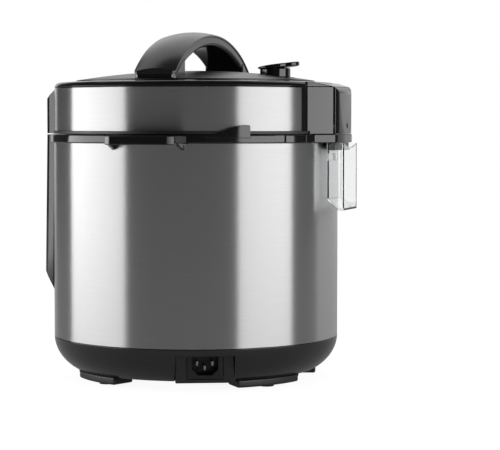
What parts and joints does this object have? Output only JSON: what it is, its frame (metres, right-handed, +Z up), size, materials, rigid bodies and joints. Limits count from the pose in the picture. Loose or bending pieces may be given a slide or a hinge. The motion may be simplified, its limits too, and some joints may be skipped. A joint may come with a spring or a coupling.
{
  "type": "multicooker",
  "caption": "Upright round multicooker with a rear-hinged pressure lid, twist-lock top handle, control panel, steam valve, clip-on drip cup and mains inlet.",
  "frame": {"origin": "vessel axis at the plane of the rubber feet", "axes": "+Z up, -Y towards the control panel, +Y towards the lid hinge, +X to the user's right"},
  "size_m": [0.32, 0.2973, 0.3315],
  "materials": {
    "brushed_steel": "brushed, satin",
    "gloss_black": "glossy moulded",
    "satin_black": "satin moulded",
    "bottom_metal": "galvanised",
    "rubber": "matte",
    "silicone": "matte translucent",
    "screw_steel": "plated",
    "inlet_plastic": "matte",
    "inlet_metal": "nickel plated",
    "display_glass": "polished",
    "dark_module": "matte",
    "circuit_board": "solder mask",
    "chamber_metal": "satin",
    "pot_coating": "non-stick",
    "heater_metal": "oxidised",
    "stainless": "polished",
    "float_red": "glossy",
    "clear_plastic": "clear moulded",
    "key_grey": "satin"
  },
  "bodies": {
    "body": {"base_shell": "satin_black", "bottom_plate": "bottom_metal", "foot_blocks": "satin_black", "foot_pads": "rubber", "base_screws": "screw_steel", "outer_sleeve": "brushed_steel", "rim_ring": "gloss_black", "carry_handle_right": "gloss_black", "carry_handle_left": "gloss_black", "hinge_base": "gloss_black", "cup_plug": "satin_black", "inlet_housing": "satin_black", "inlet_socket": "inlet_plastic", "inlet_pins": "inlet_metal", "panel_frame": "gloss_black", "display_glass": "display_glass", "display_module": "dark_module", "control_board": "circuit_board", "heating_chamber": "chamber_metal", "locking_ring": "chamber_metal", "inner_pot": "pot_coating", "heating_plate": "chamber_metal", "heater_element": "heater_metal", "sensor_bracket": "bottom_metal", "sensor_spring": "screw_steel", "power_board": "circuit_board"},
    "lid": {"lid_frame": "gloss_black", "lid_band": "brushed_steel", "lid_lip": "satin_black", "lid_front_trim": "gloss_black", "hinge_cheeks": "gloss_black", "hinge_pin": "screw_steel", "tail_screw": "screw_steel"},
    "lid_top": {"dome_cover": "satin_black", "handle_cover": "satin_black", "handle_core": "satin_black", "handle_screws": "screw_steel", "retainer_ring": "satin_black", "pressure_lid": "stainless", "lid_gasket": "silicone", "exhaust_pipe": "stainless", "filter_cap": "stainless"},
    "steam_valve": {"valve_cap": "gloss_black", "valve_weight": "stainless"},
    "float_valve": {"float_pin": "float_red", "float_seal": "silicone"},
    "cup": {"drip_cup": "clear_plastic"},
    "sensor": {"sensor_cap": "stainless"},
    "key_menu": {"button_menu": "key_grey"},
    "key_keep_warm": {"button_keep_warm": "key_grey"},
    "key_minus": {"button_minus": "key_grey"},
    "key_plus": {"button_plus": "key_grey"},
    "key_delay": {"button_delay": "key_grey"},
    "key_pressure": {"button_pressure": "key_grey"},
    "key_cancel": {"button_cancel": "key_grey"},
    "key_start": {"button_start": "key_grey"}
  },
  "joints": [
    {"name": "lid_hinge", "type": "hinge", "parent": "body", "child": "lid", "pos_m": [0, 0.1435, 0.2415], "axis": [-1, 0, 0], "range_deg": [0, 75]},
    {"name": "lid_twist", "type": "hinge", "parent": "lid", "child": "lid_top", "pos_m": [0, 0, 0.285], "axis": [0, 0, 1], "range_deg": [0, 30]},
    {"name": "valve_turn", "type": "hinge", "parent": "lid_top", "child": "steam_valve", "pos_m": [0, 0.08, 0.295], "axis": [0, 0, 1], "range_deg": [0, 50]},
    {"name": "float_rise", "type": "slide", "parent": "lid_top", "child": "float_valve", "axis": [0, 0, 1], "range_m": [0, 0.006]},
    {"name": "cup_slide", "type": "slide", "parent": "body", "child": "cup", "axis": [0, 0, -1], "range_m": [0, 0.04]},
    {"name": "sensor_press", "type": "slide", "parent": "body", "child": "sensor", "axis": [0, 0, -1], "range_m": [0, 0.002], "stiffness_N_per_m": 800, "springref_m": -0.003, "deforming": ["sensor_spring"]},
    {"name": "menu_press", "type": "slide", "parent": "body", "child": "key_menu", "axis": [0, 0.9998, -0.0175], "range_m": [0, 0.0008], "stiffness_N_per_m": 300, "springref_m": -0.0005},
    {"name": "keep_warm_press", "type": "slide", "parent": "body", "child": "key_keep_warm", "axis": [0, 0.9998, -0.0175], "range_m": [0, 0.0008], "stiffness_N_per_m": 300, "springref_m": -0.0005},
    {"name": "minus_press", "type": "slide", "parent": "body", "child": "key_minus", "axis": [0, 0.9998, -0.0175], "range_m": [0, 0.0008], "stiffness_N_per_m": 300, "springref_m": -0.0005},
    {"name": "plus_press", "type": "slide", "parent": "body", "child": "key_plus", "axis": [0, 0.9998, -0.0175], "range_m": [0, 0.0008], "stiffness_N_per_m": 300, "springref_m": -0.0005},
    {"name": "delay_press", "type": "slide", "parent": "body", "child": "key_delay", "axis": [0, 0.9998, -0.0175], "range_m": [0, 0.0008], "stiffness_N_per_m": 300, "springref_m": -0.0005},
    {"name": "pressure_press", "type": "slide", "parent": "body", "child": "key_pressure", "axis": [0, 0.9998, -0.0175], "range_m": [0, 0.0008], "stiffness_N_per_m": 300, "springref_m": -0.0005},
    {"name": "cancel_press", "type": "slide", "parent": "body", "child": "key_cancel", "axis": [0, 0.9998, -0.0175], "range_m": [0, 0.0008], "stiffness_N_per_m": 300, "springref_m": -0.0005},
    {"name": "start_press", "type": "slide", "parent": "body", "child": "key_start", "axis": [0, 0.9998, -0.0175], "range_m": [0, 0.0008], "stiffness_N_per_m": 300, "springref_m": -0.0005}
  ]
}
